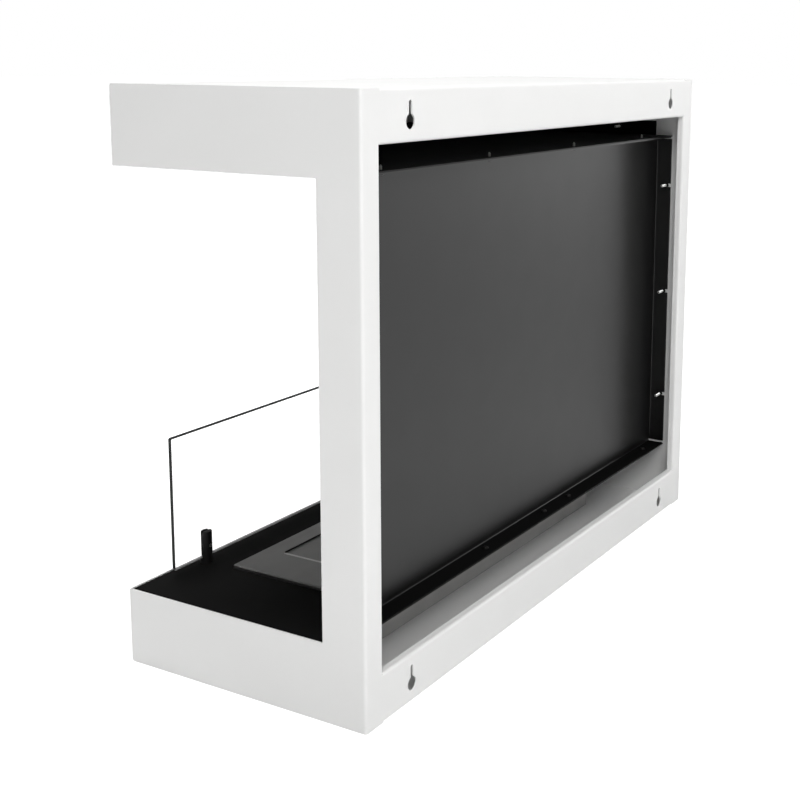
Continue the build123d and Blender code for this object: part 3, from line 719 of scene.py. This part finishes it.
# Pale floor: it keeps the object's shadow near the object. Further off it is lifted to the background's white
# where the camera sees it straight on or through the pane, and in what coats and metal reflect. The ranges
# are distances from the origin in metres.
material, tree = new_material("pale_studio_floor")
spot = add_node(tree, "ShaderNodeTexCoord").outputs["Object"]
distance = add_node(tree, "ShaderNodeVectorMath", {0: spot}, operation="LENGTH").outputs["Value"]
lift = add_node(tree, "ShaderNodeMapRange", {
    "Value": distance, "From Min": 0.6, "From Max": 3.0, "To Min": 0.7, "To Max": 1.0,
}).outputs[0]
mirrored = add_node(tree, "ShaderNodeMapRange", {
    "Value": distance, "From Min": 1.2, "From Max": 5.0, "To Min": 0.0, "To Max": 0.75,
}).outputs[0]
seen_glow = add_node(tree, "ShaderNodeMath", {
    0: seen_by_camera(tree), 1: lift,
}, operation="MULTIPLY").outputs[0]
in_gloss = add_node(tree, "ShaderNodeLightPath").outputs["Is Glossy Ray"]
glow_strength = add_node(tree, "ShaderNodeMath", {
    0: in_gloss, 1: mirrored, 2: seen_glow,
}, operation="MULTIPLY_ADD").outputs[0]
paper = add_node(tree, "ShaderNodeBsdfDiffuse", {"Color": coat_colour("#f0f0f0")})
glow = add_node(tree, "ShaderNodeEmission", {"Color": (1, 1, 1, 1), "Strength": glow_strength})
lifted = add_node(tree, "ShaderNodeAddShader", {0: paper.outputs[0], 1: glow.outputs[0]})
add_node(tree, "ShaderNodeOutputMaterial", {"Surface": lifted.outputs[0]})
floor_mesh.materials.append(material)

# World: white to the camera, also through the pane. The object stands in a room whose low part is bright,
# most on the hearth's side, and which is dark above that but for a weak glow at the far end of that side.
# Metal and lacquer reflect it. The ranges are parts of the direction, as a vector of length 1.
world = bpy.data.worlds.new("studio_world")
scene.world = world
world.use_nodes = True
tree = world.node_tree
tree.nodes.clear()
facing = add_node(tree, "ShaderNodeTexCoord").outputs["Generated"]
way = add_node(tree, "ShaderNodeSeparateXYZ", {"Vector": facing}).outputs
far_glow = add_node(tree, "ShaderNodeMapRange", {
    "Value": way["X"], "From Min": -0.5, "From Max": 0.1, "To Min": 0.17, "To Max": 0.04,
}, interpolation_type="SMOOTHSTEP").outputs[0]
hearth_side = add_node(tree, "ShaderNodeMapRange", {
    "Value": way["Z"], "From Min": 0.05, "From Max": 0.22, "To Min": 0.9, "To Max": far_glow,
}, interpolation_type="SMOOTHSTEP").outputs[0]
wall_side = add_node(tree, "ShaderNodeMapRange", {
    "Value": way["Z"], "From Min": 0.02, "From Max": 0.16, "To Min": 0.4, "To Max": 0.03,
}, interpolation_type="SMOOTHSTEP").outputs[0]
room = add_node(tree, "ShaderNodeMapRange", {
    "Value": way["Y"], "From Min": -0.35, "From Max": 0.25, "To Min": hearth_side, "To Max": wall_side,
}, interpolation_type="SMOOTHSTEP").outputs[0]
lit = add_node(tree, "ShaderNodeBackground", {"Color": (1, 1, 1, 1), "Strength": room})
white = add_node(tree, "ShaderNodeBackground", {"Color": (1, 1, 1, 1), "Strength": 1.0})
both = add_node(tree, "ShaderNodeMixShader", {
    0: seen_by_camera(tree), 1: lit.outputs[0], 2: white.outputs[0],
})
add_node(tree, "ShaderNodeOutputWorld", {"Surface": both.outputs[0]})


def add_lamp(name, place, size, watts):
    """Square softbox that faces the origin, at the middle of the wall plane. Lengths are in metres."""
    lamp = bpy.data.lights.new(name, "AREA")
    lamp.shape = "SQUARE"
    lamp.size = size
    lamp.energy = watts
    thing = bpy.data.objects.new(name, lamp)
    scene.collection.objects.link(thing)
    way = Vector((0, 0, 0)) - Vector(place)
    thing.matrix_world = Matrix.Translation(place) @ way.to_track_quat("-Z", "Y").to_matrix().to_4x4()


add_lamp("softbox_wall_side", (1.0, 2.7, 2.4), 2.0, 43)
add_lamp("softbox_near_end", (2.6, 1.6, 2.4), 2.0, 61)
add_lamp("softbox_far_end", (-7.5, 2.4, 1.7), 3.4, 100)
add_lamp("softbox_above_wall_side", (0, 0.8, 3.2), 2.0, 20)
add_lamp("softbox_above_hearth", (0, -0.75, 3.2), 1.2, 62)

# Camera, set by the straight edges of the casing in the photograph: its place in metres, its turns in
# degrees, and the picture's width, the focal length and the point that the view axis meets in pixels
camera_place = (1.3149, 0.6608, 0.3323)
azimuth, elevation, roll = math.radians(120.103), math.radians(9.644), math.radians(0.399)
picture, focal_length, axis_x, axis_y = 800, 1302.7, 484.8, 279.7
sensor_width = 36
back = Vector((
    math.sin(azimuth) * math.cos(elevation), -math.cos(azimuth) * math.cos(elevation), math.sin(elevation),
))
right = Vector((math.cos(azimuth), math.sin(azimuth), 0))
up = back.cross(right)
turned_right = math.cos(roll) * right + math.sin(roll) * up
turned_up = math.cos(roll) * up - math.sin(roll) * right
lens = bpy.data.cameras.new("camera")
lens.sensor_width = sensor_width
lens.lens = focal_length / picture * sensor_width
lens.shift_x = (picture / 2 - axis_x) / picture
lens.shift_y = (axis_y - picture / 2) / picture
lens.clip_start = 0.01
lens.clip_end = 100
camera = bpy.data.objects.new("camera", lens)
scene.collection.objects.link(camera)
turn = Matrix((turned_right, turned_up, back)).transposed().to_4x4()
camera.matrix_world = Matrix.Translation(camera_place) @ turn
scene.camera = camera
